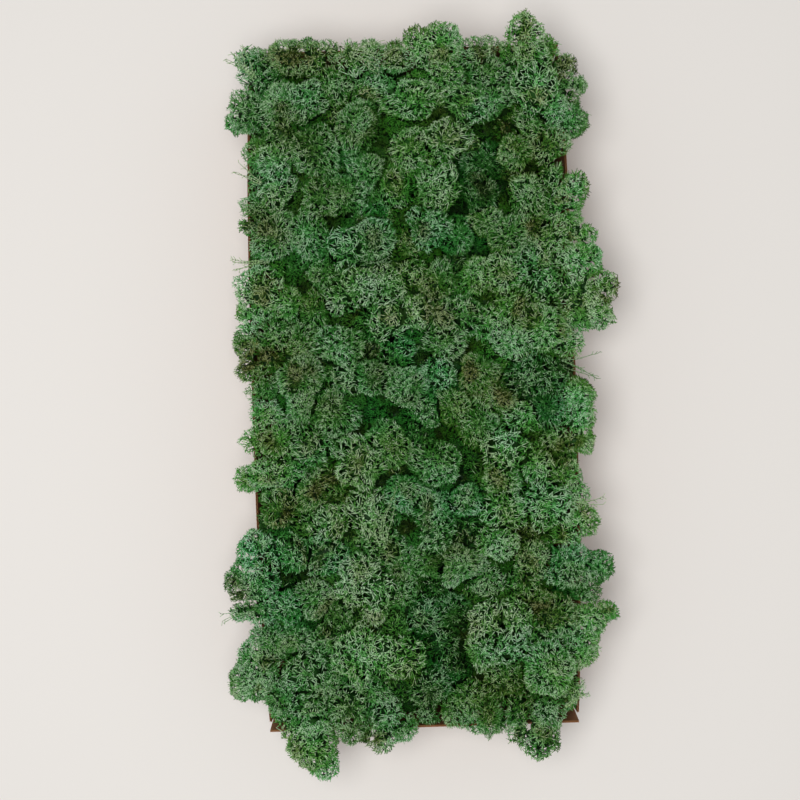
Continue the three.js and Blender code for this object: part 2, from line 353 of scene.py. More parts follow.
# The near corners that show: the side they are on, how far they are bare across and along the tray, and
# how far from the tray's end the moss outside its long wall begins.
BARE_CORNERS = [(-1, 10, 7.5, 19), (1, 16, 5, 17)]


def find_heads():
    """The heads of every clump: its node, the middle of its widest level and its radius."""
    heads = []
    for name, node in sorted(frame["nodes"].items()):
        if not name.startswith("moss"):
            continue
        bm = bmesh.new()
        bm.from_mesh(node.data)
        bmesh.ops.remove_doubles(bm, verts=bm.verts, dist=SAME_PLACE * MM)
        for vert in bm.verts:
            around = [edge.other_vert(vert).co.z for edge in vert.link_edges]
            crown = vert.co.z / MM
            if len(around) < CROWN_EDGES or max(around) >= vert.co.z or crown < RIM + LOWEST_CROWN:
                continue
            radius = (crown - min(around) / MM) / RING_DROP
            heads.append(new_head(name, vert.co.x / MM, vert.co.y / MM, crown, radius))
        bm.free()
    return heads


def new_head(node, x, y, crown, radius):
    """A head, with how far its middle is past the nearest wall, and which way that wall faces."""
    middle = np.array([x, y, crown - radius * HEAD_HEIGHT])
    past = past_walls(np.array([[x, y, RIM]]))[0]
    way = np.zeros(3)
    way[past.argmax()] = np.sign(middle[past.argmax()])
    swell = HEAD_SWELL if past.max() < -RIM_REACH * radius else OUTLINE_SWELL
    return {
        "node": node, "middle": middle, "radius": radius, "size": radius * swell,
        "outside": float(past.max()), "way": way, "stays_in": False,
    }


def crown_of(head):
    """The height of a head's crown."""
    return head["middle"][2] + head["radius"] * HEAD_HEIGHT


def necks(heads):
    """Small heads from each head that leans out over the rim back to the moss in the tray."""
    made = []
    for head in heads:
        if head["outside"] < 0:
            continue
        back = np.clip(head["middle"][:2], NECK_INSET - INNER_HALF, INNER_HALF - NECK_INSET)
        back -= head["middle"][:2]
        steps = int(np.linalg.norm(back) / (NECK_STEP * head["radius"]))
        for step in range(1, steps + 1):
            share = step / (steps + 1)
            spot = head["middle"][:2] + share * back
            crown = crown_of(head) - NECK_DROP - NECK_FALL * share
            made.append(new_head(head["node"], *spot, crown, NECK_SIZE * head["radius"]))
    return made


def bridges(heads):
    """Small heads between neighbours that both lean out over the same wall."""
    made = []
    leaning = [head for head in heads if head["outside"] > LEANING]
    for i, one in enumerate(leaning):
        for other in leaning[i + 1 :]:
            apart = np.linalg.norm((one["middle"] - other["middle"])[:2])
            radius = BRIDGE_SIZE * min(one["radius"], other["radius"])
            same_wall = (one["way"] == other["way"]).all()
            if not same_wall or not BRIDGE_LEAST * radius < apart < BRIDGE_MOST:
                continue
            middle = (one["middle"] + other["middle"]) / 2
            crown = min(crown_of(one), crown_of(other)) - BRIDGE_DROP
            made.append(new_head(one["node"], *middle[:2], crown, radius))
    return made


def nearest_node(x, y, heads):
    """The node of the head that is nearest to a place."""
    return min(heads, key=lambda head: math.dist(head["middle"][:2], (x, y)))["node"]


def extra_heads(heads):
    """The named extra tufts, each of the clump that is nearest."""
    made = []
    for x, y, radius, crown, openness in EXTRA_TUFTS:
        made.append(new_head(nearest_node(x, y, heads), x, y, RIM + crown, radius))
        made[-1]["openness"] = openness
    return made


def in_bare_corner(points):
    """Which points lie over or outside the near corners, which the moss leaves bare."""
    bare = np.zeros(len(points), bool)
    for side, across, along, outside in BARE_CORNERS:
        from_side = OUTER_HALF[0] - side * points[:, 0]
        from_end = OUTER_HALF[1] + points[:, 1]
        bare |= np.clip(from_side, 0, None) / across + np.clip(from_end, 0, None) / along < 1
        bare |= (from_side < 0) & (from_end < outside)
    return bare


def small_heads(heads, rng):
    """Smaller, lower heads that fill the ground between the heads, of the clump that is nearest. Those
    along the walls reach up to the rim."""
    x, y = np.meshgrid(*[np.arange(-half, half, SMALL_GRID) for half in OUTER_HALF + SIDE_GIVE])
    places = np.column_stack([x.ravel(), y.ravel(), np.full(x.size, RIM)])
    past = past_walls(places).max(axis=1)
    kept = (past < -WALL_GAP) & ~in_bare_corner(places)
    places, past = places[kept, :2], past[kept]
    middles = np.array([head["middle"] for head in heads])
    radii = np.array([head["radius"] for head in heads])
    apart = np.linalg.norm(places[:, None] - middles[None, :, :2], axis=2)
    free = (apart - KEPT_OFF * radii).min(axis=1)
    made = []
    while free.max() > SMALLEST_GAP:
        spot = int(free.argmax())
        near = np.argsort(apart[spot])[:CROWNS_AROUND]
        radius = float(np.clip(free[spot] + SMALLEST_GAP, *SMALL_RADII))
        crown = (middles[near, 2] + radii[near] * HEAD_HEIGHT).mean() - rng.uniform(*SMALL_DROPS)
        in_hollow = min(math.dist(places[spot], hollow) for hollow in HOLLOWS) < HOLLOW_REACH
        crown -= HOLLOW_DROP if in_hollow else 0
        if past[spot] > -2 * WALL_GAP:
            crown = max(crown, RIM + rng.uniform(0, RIM_RISE))
        made.append(new_head(heads[near[0]]["node"], *places[spot], crown, radius))
        made[-1]["stays_in"] = True
        free = np.minimum(free, np.linalg.norm(places - places[spot], axis=1) - KEPT_OFF * radius)
    return made


# ---- moss: how a head grows ----

# The distance between the stars of tips and the width of a twig, in millimetres.
STAR_SPACING = {
    "moss_green": 3.05, "moss_light": 3.25, "moss_sage": 3.6,
    "moss_teal": 3.25, "moss_olive": 2.95, "moss_dark": 3.05,
}
TWIG_WIDTH = {
    "moss_green": 0.6, "moss_light": 0.65, "moss_sage": 0.72,
    "moss_teal": 0.65, "moss_olive": 0.58, "moss_dark": 0.59,
}

# A head's character: how open it is, and how light. Each has a usual value, how much that rises with the
# place's tone or with the openness, how much it varies by chance, and its limits.
OPENNESS, OPENNESS_RISE, OPENNESS_SPREAD = 1.05, 1.2, 0.2
OPENNESS_LIMITS = (0.8, 1.6)
TONE, TONE_RISE, TONE_SPREAD = 0.88, 0.2, 0.08
TONE_LIMITS = (0.6, 1.15)
SMALL_HEAD_SHADE = 0.85  # of the small heads, over that: painted shade, as they lie low in the hollows
STRETCH = 0.12  # how much longer one way than round a head can be

# How dried the moss is, from 0 to 1: as a rule, and how much more in the small heads, in patches, in
# spots on the crowns, and at the far sides of the heads that hang over the rim.
DRYNESS = 0.34
SMALL_DRYNESS = 0.12
PATCH_WIDTH, PATCH_DRYNESS = 55, 0.13
SPOT_WIDTH, SPOT_DRYNESS = 34, 0.6
SPOT_FLOOR, SPOT_PEAK = 0.4, 0.8  # how far the spots' waves count below and above their mean
FAR_SIDE_DRYNESS = 0.55
FAR_SIDE_SHARE = 0.4  # the most of that on a head that isn't at a brown end
FIELD_WAVES = 9  # in the patches, and in the spots

# The knobs on a head and the bumps on those. A knob's height is over the head's radius.
KNOB_WIDTH, KNOB_HEIGHT = 24, 0.1
BUMP_WIDTH, BUMP_HEIGHT = 9, 0.8

# How much darker the moss is in each kind of place.
TIP_SHADE = 0.4  # at a tip that lies TIP_SPREAD lower than the surface
STAR_SHADE = 0.31  # by chance, from one star of tips to another
CREASE_SHADE = 0.22  # in the creases between knobs
CREASE_START, CREASE_DEPTH = 0.5, 1.5  # how high on the knobs' waves a crease begins, and its depth
HOLLOW_SHADE = 0.84  # deep between heads
SHALLOW, DEEP = 4, 22  # below the crowns around it, where that shade begins and is full
CROWN_REACH = 16  # how far away a crown still counts as around
CROWN_STEP = 6  # a crown that is this much higher counts nearly three times as much
SHELTER = 15  # how far inside the walls the shade between heads is full
LEAST_SHELTER = 0.25  # the share of it that is left at the walls and outside them
OUTLINE_SHADE = 0.62  # the light on the sides of the heads that hang over the rim
SIDE_HEIGHT = 0.4  # where those sides begin, over the head's radius

# Where the tips and forks of a head are. A star is the tips round one fork.
CROWDING = 1.25  # over 1, so that the tips are closer together on the crown than on the sides
SCATTER = 0.25  # how far the stars stray, over their distance
FEWEST_TIPS, MOST_TIPS = 3, 4
STAR_ARM = 0.53  # how far a star's tips stand out sideways, over the stars' distance
ARM_LENGTHS = (0.75, 1.25)  # over that
ARM_TURN = 0.3  # how unevenly the tips stand round their fork, in radians
TIP_SPREAD = 0.7  # how much the tips vary in height
STAR_DEPTH = 2.1  # how far below the surface a star's fork lies
STAR_REACH = 0.8  # how far out along its branch a star's fork is
FORK_DEPTHS = (5.4, 9.2)  # how far below the surface the forks further in lie
FORK_REACHES = (0.46, 0.2)  # how far out along its branch such a fork is
DEPTH_SPREAD = 0.5  # how much the forks vary in depth
BRANCHING = 1.7  # each level of forks is this much further apart than the one outside it
LOOSENESS = 0.42  # how far the forks stray sideways, over their distance
FEWEST_FORKS = 6  # on a level, if the head were a whole ball
LOWEST_TIP = -0.1  # how far down a head's side the tips go, over its radius
LOWEST_TIP_OUTSIDE = -0.8

# How wide twigs are over their level's width: at a tip, where they meet a fork of the level outside, and
# at their inner ends. Each level of forks after the first is FORK_WIDTH times as wide as the last.
TIP_WIDTH, FORK_WIDTH, ROOT_WIDTH = 0.8, 1.15, 1.35
OUTLINE_WIDTH = 1.2  # how much wider twigs are on heads that hang over the rim

# Where tips are left out: inside other heads and below them, within these shares of their size, and this
# near to a wall and above its rim.
TAKEN_INSIDE, TAKEN_BELOW = 0.95, 0.85
WALL_ROOM, RIM_ROOM = 0.7, 1
SMALL_WALL_ROOM = 0.3  # of the small heads, whose tips stay inside the walls

# The inside of a head, its core, and the sheaf of stems below it: the dense stems deep in the moss,
# drawn dark as painted shade.
INSIDE_REACH = 0.3  # how far out along a branch their colours go
CORE_DEPTH = 7.5  # from the tips down to the core
CORE_SIZES = (0.85, 1.1)  # of its lumps, over its size
SHEAF_WIDTH = 1.15  # the radius of a sheaf over its head's
THINNEST_SHEAF = 8  # the least room that it has beside a wall
SHEAF_SIDES = 7
SHEAF_TOP = 0.75  # its radius at its top, over that at its foot
CORE_DRYNESS, SHEAF_DRYNESS = 0.5, 0.75


def spread_directions(count, rng):
    """Count directions, loosely spread over the sphere and closer together round its top."""
    steps = np.arange(count) + 0.5
    height = 1 - 2 * (steps / count) ** CROWDING
    turn = steps * math.pi * (3 - math.sqrt(5)) + rng.uniform(0, 2 * math.pi)
    flat = np.sqrt(1 - height**2)
    points = np.column_stack([flat * np.cos(turn), flat * np.sin(turn), height])
    points += rng.normal(0, SCATTER * math.sqrt(4 * math.pi / count), points.shape)
    return points / np.linalg.norm(points, axis=1, keepdims=True)


def crosswise(directions):
    """Two unit vectors square to each direction and to each other."""
    is_upright = np.abs(directions[:, 2:]) > 0.9
    side = np.cross(directions, np.where(is_upright, [[1.0, 0, 0]], [[0, 0, 1.0]]))
    side /= np.linalg.norm(side, axis=1, keepdims=True)
    return side, np.cross(directions, side)


def star_arms(directions, arm, rng):
    """For forks in these directions: the directions of the tips round each, and the fork of each tip."""
    counts = rng.integers(FEWEST_TIPS, MOST_TIPS + 1, len(directions))
    fork = np.repeat(np.arange(len(directions)), counts)
    step = np.arange(len(fork)) - (np.cumsum(counts) - counts)[fork]
    turn = rng.uniform(0, 2 * math.pi, len(directions))[fork] + 2 * math.pi * step / counts[fork]
    turn += rng.normal(0, ARM_TURN, len(fork))
    side, across = crosswise(directions)
    out = np.cos(turn)[:, None] * side[fork] + np.sin(turn)[:, None] * across[fork]
    tips = directions[fork] + out * arm * rng.uniform(*ARM_LENGTHS, (len(fork), 1))
    return tips / np.linalg.norm(tips, axis=1, keepdims=True), fork


def strayed(directions, amount, rng):
    """The same directions, each turned a little at random."""
    loose = directions + rng.normal(0, amount, directions.shape)
    return loose / np.linalg.norm(loose, axis=1, keepdims=True)


def nearest(points, targets):
    """For each point, the index of the nearest target."""
    return np.argmin(((points[:, None] - targets[None]) ** 2).sum(axis=2), axis=1)


def waves(rng, wavelength, count=7):
    """A smooth random field of about unit size, as a function of points."""
    aims = rng.normal(0, 1, (count, 3))
    aims *= 2 * math.pi / wavelength / np.linalg.norm(aims, axis=1, keepdims=True)
    phase = rng.uniform(0, 2 * math.pi, count)
    return lambda points: np.cos(points @ aims.T + phase).sum(axis=1) / math.sqrt(count / 2)


def stretched(turn, longer):
    """The shape of a head as a matrix: as high as a CAD dome, and longer in the direction of turn."""
    spin = np.array([[math.cos(turn), -math.sin(turn), 0], [math.sin(turn), math.cos(turn), 0], [0, 0, 1]])
    return spin @ np.diag([longer, 1 / longer, HEAD_HEIGHT]) @ spin.T


def give_character(head, rng):
    """Settles how a head differs from others: open heads are paler than dense ones, and the small heads
    in the hollows are drier, and darker with painted shade."""
    apart = [(change, math.dist(head["middle"][:2], (x, y))) for x, y, change in TONE_PLACES]
    change = sum(change * math.exp(-((far / TONE_PLACE_REACH) ** 2)) for change, far in apart)
    openness = rng.normal(OPENNESS + OPENNESS_RISE * max(change, 0), OPENNESS_SPREAD)
    openness = head.setdefault("openness", float(np.clip(openness, *OPENNESS_LIMITS)))
    tone = TONE + change + TONE_RISE * (openness - 1) + rng.normal(0, TONE_SPREAD)
    head["tone"] = float(np.clip(tone, *TONE_LIMITS)) * (SMALL_HEAD_SHADE if head["stays_in"] else 1)
    head["dry"] = DRYNESS + (SMALL_DRYNESS if head["stays_in"] else 0)
    head["spots"] = rng.uniform(0, SPOT_DRYNESS)
    is_brown = min(math.dist(head["middle"][:2], place) for place in BROWN_ENDS) < BROWN_REACH
    head["brown"] = 1 if is_brown else rng.uniform(0, FAR_SIDE_SHARE)
    longer = 1 + rng.uniform(0, STRETCH) * (head["outside"] < 0)
    head["shape"] = stretched(rng.uniform(0, math.pi), longer)


def near_heads(head, heads):
    """The other heads that a head may touch."""
    middles = np.array([other["middle"] for other in heads])
    sizes = np.array([other["size"] for other in heads])
    apart = np.linalg.norm(middles[:, :2] - head["middle"][:2], axis=1)
    close = apart < sizes + head["size"]
    return [other for other, is_close in zip(heads, close) if is_close and other is not head]


def free_tips(tips, near, stays_in):
    """Which tips lie neither inside another head nor hidden below it, nor in a wall or a bare corner."""
    clear = ~in_bare_corner(tips)
    for other in near:
        away = tips - other["middle"]
        from_middle = np.linalg.norm(away @ np.linalg.inv(other["shape"]), axis=1)
        inside = from_middle < TAKEN_INSIDE * other["size"]
        below = (np.linalg.norm(away[:, :2], axis=1) < TAKEN_BELOW * other["size"]) & (away[:, 2] < 0)
        clear &= ~(inside | below)
    past = past_walls(tips).max(axis=1)
    if stays_in:
        return clear & (past < -SMALL_WALL_ROOM)
    in_wall = (past > -WALL_ROOM) & (past < BOARD + WALL_ROOM) & (tips[:, 2] < RIM + RIM_ROOM)
    return clear & ~in_wall


def hollow_light(points, near):
    """The share of light that reaches down to each point between the crowns of the heads around it."""
    places = np.array([head["middle"][:2] for head in near])
    crowns = np.array([crown_of(head) for head in near])
    apart = np.linalg.norm(points[:, None, :2] - places[None], axis=2)
    weight = np.exp(-((apart / CROWN_REACH) ** 2) + (crowns - crowns.max()) / CROWN_STEP)
    canopy = (weight * crowns).sum(axis=1) / weight.sum(axis=1)
    return 1 - HOLLOW_SHADE * np.clip((canopy - points[:, 2] - SHALLOW) / (DEEP - SHALLOW), 0, 1)


def grow_head(head, heads, patches, spots, spacing, width, rng):
    """The twigs of one head, the tips first: for each level of forks, arrays of the inner and outer ends,
    the widths and the reaches at both, the light and the dryness."""
    middle, radius = head["middle"], head["size"]
    spacing, width = spacing * head["openness"], width * math.sqrt(head["openness"])
    hangs_over = head["outside"] > 0
    width *= OUTLINE_WIDTH if hangs_over else 1
    knobs, bumps = waves(rng, KNOB_WIDTH), waves(rng, BUMP_WIDTH)
    near = near_heads(head, heads)
    sheltered = np.clip(-head["outside"] / SHELTER, LEAST_SHELTER, 1)

    def at(directions, depth):
        surface = directions * radius
        swell = radius * KNOB_HEIGHT * knobs(surface) + BUMP_HEIGHT * bumps(surface)
        return middle + (directions * (radius + swell[:, None] - depth)) @ head["shape"]

    def light(directions, points):
        crease = 1 - CREASE_SHADE * np.clip(CREASE_START - knobs(directions * radius), 0, CREASE_DEPTH)
        return head["tone"] * crease * (1 - sheltered * (1 - hollow_light(points, near + [head])))

    def dryness(directions, points):
        """The moss is dried in patches, and more on the crowns of heads than on their sides."""
        spot = SPOT_FLOOR + np.clip(spots(points), -SPOT_FLOOR, SPOT_PEAK)
        spot *= np.clip(directions[:, 2], 0, 1) ** 2
        far_side = np.clip(directions @ head["way"], 0, 1) ** 2 * hangs_over * FAR_SIDE_DRYNESS
        dried = head["dry"] + PATCH_DRYNESS * patches(points)
        return dried + head["spots"] * spot + head["brown"] * far_side

    def rows(inner, outer, inner_width, outer_width, inner_reach, outer_reach, directions, shade):
        values = (inner_width, outer_width, inner_reach, outer_reach)
        values += (shade * light(directions, outer), dryness(directions, outer))
        return [inner, outer, *[np.broadcast_to(np.asarray(value, float), len(outer)) for value in values]]

    lowest = LOWEST_TIP_OUTSIDE if hangs_over else LOWEST_TIP
    forks = spread_directions(int(4 * math.pi * (radius / spacing) ** 2), rng)
    forks = forks[forks[:, 2] > lowest]
    shade = rng.normal(1, STAR_SHADE, len(forks))
    directions, home = star_arms(forks, STAR_ARM * spacing / radius, rng)
    drop = rng.normal(0, 1, len(directions))
    tips = at(directions, TIP_SPREAD * drop[:, None])
    clear = free_tips(tips, near, head["stays_in"])
    if not clear.any():
        return []
    tips, directions = tips[clear], directions[clear]
    tip_shade = shade[home[clear]] - TIP_SHADE * drop[clear]
    tip_shade *= np.where(hangs_over & (directions[:, 2] < SIDE_HEIGHT), OUTLINE_SHADE, 1)
    used, home = np.unique(home[clear], return_inverse=True)
    directions, shade, reach = forks[used], shade[used], STAR_REACH
    depths = STAR_DEPTH + rng.normal(0, DEPTH_SPREAD, (len(used), 1))
    outer = at(strayed(directions, LOOSENESS * spacing / radius, rng), depths)
    widths = (FORK_WIDTH * width, TIP_WIDTH * width)
    twigs = [rows(outer[home], tips, *widths, reach, 1, (tips - middle) / radius, tip_shade)]
    for depth, next_reach in zip(FORK_DEPTHS, FORK_REACHES):
        spacing *= BRANCHING
        count = max(FEWEST_FORKS, int(4 * math.pi * ((radius - depth) / spacing) ** 2))
        home = nearest(directions, spread_directions(count, rng))
        used, home = np.unique(home, return_inverse=True)
        mean = np.zeros((len(used), 3))
        np.add.at(mean, home, directions)
        mean /= np.linalg.norm(mean, axis=1, keepdims=True)
        depths = depth + rng.normal(0, DEPTH_SPREAD, (len(used), 1))
        inner = at(strayed(mean, LOOSENESS * spacing / radius, rng), depths)
        widths = (ROOT_WIDTH * width, FORK_WIDTH * width)
        twigs.append(rows(inner[home], outer, *widths, next_reach, reach, directions, shade))
        directions, outer, reach, width, shade = mean, inner, next_reach, FORK_WIDTH * width, 1
    return twigs


# ---- moss: loose stems ----

# Stems that lie bare over the heads or stick out over the rim, as (x, y, their way in degrees, length,
# how many, over what width).
SPRAYS = [
    (-30, -132, 108, 50, 7, 9), (-36, -125, 95, 34, 4, 14), (-42, 106, 8, 27, 3, 4),
    (-44, 284, -20, 28, 6, 12), (-32, 104, -60, 15, 3, 9), (73, 276, 92, 18, 2, 2),
    (125, 19, -25, 34, 4, 6), (130, -100, -5, 27, 2, 3), (-119, 112, 174, 32, 5, 6),
    (-122, 176, 152, 26, 3, 4), (-140, -184, 180, 28, 3, 5), (118, -272, 40, 22, 3, 4),
    (-126, 264, 128, 30, 6, 10),
]
STEM_STEP = 2.6  # the length of a stem between its side twigs
STEM_ROOM = 3  # how far below the highest crown round it a stem can begin
STEM_WIDTH, SIDE_WIDTH = 1.25, 0.7  # of a stem and of a side twig
STEM_TAPER = 0.5  # the share of its width that a stem loses along its length
END_WIDTH = 0.9  # of a twig of a spray, over the width at its base
STEM_REACH, SIDE_REACH = 0.74, 0.85  # where their colours are on a branch
STEM_LIGHT, STEM_DRYNESS = 1.05, 0.7
STEM_FAN, STEM_BEND = 0.09, 0.11  # how much a spray's stems differ in their way, and a stem's steps
STEM_RISE, STEM_SINKING = 0.3, 0.6  # how steeply a stem begins, and how much that falls along its length
SIDE_SHARE = 0.3  # of the places for side twigs that have one
SIDE_TURNS, SIDE_RISE = (0.5, 1.1), 0.7  # a side twig's turn from its stem, and its steepest rise
SIDE_LENGTHS = (1.5, 4)


def unit_step(heading, rise):
    """A step 1 long over the ground, in the direction of heading."""
    return np.array([math.cos(heading), math.sin(heading), rise])


def loose_spray(spray, heads, rng):
    """The twigs of bare stems side by side that wander over the heads, in the form of a head's."""
    x, y, turn, length, count, width = spray
    near = [crown_of(head) for head in heads if math.dist(head["middle"][:2], (x, y)) < CROWN_REACH]
    steps = round(length / STEM_STEP)
    twigs = []
    for _ in range(count):
        heading = math.radians(turn) + rng.normal(0, STEM_FAN)
        spot = np.array([x, y, max(near) - rng.uniform(0, STEM_ROOM)])
        spot += rng.uniform(-width / 2, width / 2) * unit_step(math.radians(turn + 90), 0)
        for step in range(steps):
            heading += rng.normal(0, STEM_BEND)
            ahead = spot + STEM_STEP * unit_step(heading, STEM_RISE - STEM_SINKING * step / steps)
            twigs.append((spot, ahead, STEM_WIDTH * (1 - STEM_TAPER * step / steps), STEM_REACH))
            for side in (-1, 1):
                if rng.uniform() < SIDE_SHARE:
                    side_heading = heading + side * rng.uniform(*SIDE_TURNS)
                    way = unit_step(side_heading, rng.uniform(0, SIDE_RISE))
                    side_end = ahead + rng.uniform(*SIDE_LENGTHS) * way
                    twigs.append((ahead, side_end, SIDE_WIDTH, SIDE_REACH))
            spot = ahead
    inner, outer, widths, reaches = [np.array(column) for column in zip(*twigs)]
    light, dryness = np.full(len(twigs), STEM_LIGHT), np.full(len(twigs), STEM_DRYNESS)
    return [inner, outer, widths, END_WIDTH * widths, reaches, reaches, light, dryness]


# ---- moss: its meshes ----

MAP_SPREAD = 0.02  # how far neighbouring points differ on the map
MAP_MARGIN = 0.01  # that the map leaves free at its two sides


def shape_of(bm):
    """The vertices and triangles of a closed bmesh, which is freed."""
    bmesh.ops.triangulate(bm, faces=bm.faces)
    bmesh.ops.recalc_face_normals(bm, faces=bm.faces)
    bm.verts.index_update()
    verts = np.array([v.co for v in bm.verts])
    faces = np.array([[v.index for v in face.verts] for face in bm.faces])
    bm.free()
    return verts, faces


def twig_shape():
    """A twig, 1 long and wide: an edge at its base and a crosswise one at its end, both turned 45
    degrees so that it looks equally wide from its four sides."""
    bm = bmesh.new()
    half = 0.5 * math.cos(math.pi / 4)
    corners = [(-half, -half, 0), (half, half, 0), (-half, half, 1), (half, -half, 1)]
    bmesh.ops.convex_hull(bm, input=[bm.verts.new(corner) for corner in corners])
    return shape_of(bm)


def core_ball():
    """A ball 1 in radius, for the inside of a head: its dense stems as one dark body of painted shade."""
    bm = bmesh.new()
    bmesh.ops.create_icosphere(bm, subdivisions=2, radius=1)
    return shape_of(bm)


def stem_sheaf():
    """The outside of a sheaf of stems that narrows upwards, 1 in radius and high."""
    bm = bmesh.new()
    bmesh.ops.create_cone(
        bm, cap_ends=True, segments=SHEAF_SIDES, radius1=1, radius2=SHEAF_TOP, depth=1
    )
    bmesh.ops.translate(bm, verts=bm.verts, vec=(0, 0, 0.5))
    return shape_of(bm)


def shade_row(light, rng):
    """The map's row for each light, chosen loosely so that the rows don't show."""
    row = SHADE_ROWS * (light - DARKEST) / (LIGHTEST - DARKEST) + rng.uniform(-0.5, 0.5, np.shape(light))
    return np.clip(np.floor(row), 0, SHADE_ROWS - 1)


def twig_copies(shape, inner, outer, inner_width, outer_width, inner_reach, outer_reach, row, dried):
    """A copy of a twig's shape between each pair of ends: points, triangles, and reach, row and dryness
    at each point."""
    verts, faces = shape
    along = outer - inner
    length = np.linalg.norm(along, axis=1, keepdims=True)
    along = along / length
    side, across = crosswise(along)
    far = verts[None, :, 2] > 0.5
    width = np.where(far, outer_width[:, None], inner_width[:, None])[..., None]
    points = (
        inner[:, None]
        + verts[None, :, 0:1] * width * side[:, None]
        + verts[None, :, 1:2] * width * across[:, None]
        + verts[None, :, 2:3] * length[:, None] * along[:, None]
    )
    reach = np.where(far, outer_reach[:, None], inner_reach[:, None])
    dye_and_shade = np.stack(np.broadcast_arrays(reach, row[:, None], dried[:, None]), axis=-1)
    triangles = faces[None] + len(verts) * np.arange(len(inner))[:, None, None]
    return points.reshape(-1, 3), triangles.reshape(-1, 3), dye_and_shade.reshape(-1, 3)


def painted_inside_shade(count, dryness, rng):
    """Reach, row and dryness of points deep inside, mottled and dark as painted shade."""
    reach = rng.uniform(0, INSIDE_REACH, count)
    return np.column_stack([reach, np.full(count, INSIDE_ROW), np.full(count, dryness)])


def cores_of(own, rng):
    """The inside of each head, and the sheaf of stems below it where it stands in the tray, drawn dark as
    painted shade.
    """
    made = []
    for head in own:
        verts, faces = CORE
        size = max(head["size"] - CORE_DEPTH, head["size"] / 2)
        size = size * rng.uniform(*CORE_SIZES, (len(verts), 1))
        points = head["middle"] + size * verts @ head["shape"]
        made.append((points, faces, painted_inside_shade(len(verts), CORE_DRYNESS, rng)))
        if head["outside"] > LEANING:
            continue
        verts, faces = SHEAF
        room = INNER_HALF - THINNEST_SHEAF
        foot = np.array([*np.clip(head["middle"][:2], -room, room), 2 * BOARD])
        across = min(SHEAF_WIDTH * head["radius"], *(INNER_HALF - np.abs(foot[:2])))
        size = [across, across, head["middle"][2] - foot[2]]
        made.append((foot + verts * size, faces, painted_inside_shade(len(verts), SHEAF_DRYNESS, rng)))
    return made


def join(parts):
    """Joins parts of points, triangles and their maps of dye and painted shade into one."""
    starts = np.cumsum([0] + [len(points) for points, _, _ in parts])
    triangles = [faces + start for (_, faces, _), start in zip(parts, starts)]
    return (
        np.concatenate([points for points, _, _ in parts]),
        np.concatenate(triangles),
        np.concatenate([dye_and_shade for _, _, dye_and_shade in parts]),
    )


def moss_mesh(name, points, triangles, dye_and_shade):
    """A mesh of triangles with its map of reach, row and dryness."""
    mesh = bpy.data.meshes.new(name)
    mesh.vertices.add(len(points))
    mesh.vertices.foreach_set("co", (points.reshape(-1) * MM).astype(np.float32))
    mesh.loops.add(triangles.size)
    mesh.loops.foreach_set("vertex_index", triangles.reshape(-1).astype(np.int32))
    mesh.polygons.add(len(triangles))
    mesh.polygons.foreach_set("loop_start", np.arange(0, triangles.size, 3, dtype=np.int32))
    # No triangle of the map may be a bare line, so neighbours differ by a little.
    spread = MAP_SPREAD * np.cos(np.arange(len(points)))
    across = np.clip(dye_and_shade[:, 0] + spread, MAP_MARGIN, 1 - MAP_MARGIN)
    up = (np.floor(dye_and_shade[:, 1]) + np.clip(dye_and_shade[:, 2] - spread, FRESH, DRIED)) / SHADE_ROWS
    place = np.column_stack([across, up])[triangles.reshape(-1)].astype(np.float32)
    mesh.uv_layers.new(name="OFBake").uv.foreach_set("vector", place.reshape(-1))
    mesh.update(calc_edges=True)
    mesh.shade_smooth()
    return mesh


def add_piece(name, mesh, node, slot):
    """Adds a mesh as a piece that replaces a node, in its slot's material."""
    piece = bpy.data.objects.new(name, mesh)
    bpy.context.scene.collection.objects.link(piece)
    mesh.materials.append(materials[slot])
    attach(piece, "root")
    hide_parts(node)


def build_moss():
    """Grows all the heads, and makes one piece of those of each clump."""
    rng = np.random.default_rng(SEED)
    heads = find_heads()
    heads += extra_heads(heads) + necks(heads) + bridges(heads)
    heads += small_heads(heads, rng)
    patches, spots = waves(rng, PATCH_WIDTH, FIELD_WAVES), waves(rng, SPOT_WIDTH, FIELD_WAVES)
    for head in heads:
        give_character(head, rng)
    sprays = [(nearest_node(*spray[:2], heads), loose_spray(spray, heads, rng)) for spray in SPRAYS]
    for name in sorted({head["node"] for head in heads}):
        slot = slot_of[name]
        own = [head for head in heads if head["node"] == name]
        rows = []
        for head in own:
            rows += grow_head(head, heads, patches, spots, STAR_SPACING[slot], TWIG_WIDTH[slot], rng)
        rows += [spray for node, spray in sprays if node == name]
        columns = [np.concatenate(column) for column in zip(*rows)]
        columns[-2] = shade_row(columns[-2], rng)
        points, triangles, dye_and_shade = join([twig_copies(TWIG, *columns)] + cores_of(own, rng))
        mesh = moss_mesh(name + "_twigs", points, triangles, dye_and_shade)
        add_piece(name + "_twigs", mesh, name, slot)


# ---- the tray ----

FOLD = 2.4  # the outer radius of the folds round the bottom, in millimetres
FOLD_LENGTH = FOLD * math.pi / 2
FOLD_ROWS = 4
SLIT = 0.4  # between the long walls' ends and the end walls
LINER = 0.25  # the thickness of the board's outer papers
MEDIUM = 0.25  # and of the wavy paper between them
LINER_COLUMNS = 60
WAVE_COLUMNS = 6  # in a flute

# The walls: the axis they face, where their outer faces fold up, and half their length.
LONG_WALL = (0, OUTER_HALF[0], INNER_HALF[1] - SLIT)
END_WALL = (1, OUTER_HALF[1], OUTER_HALF[0])


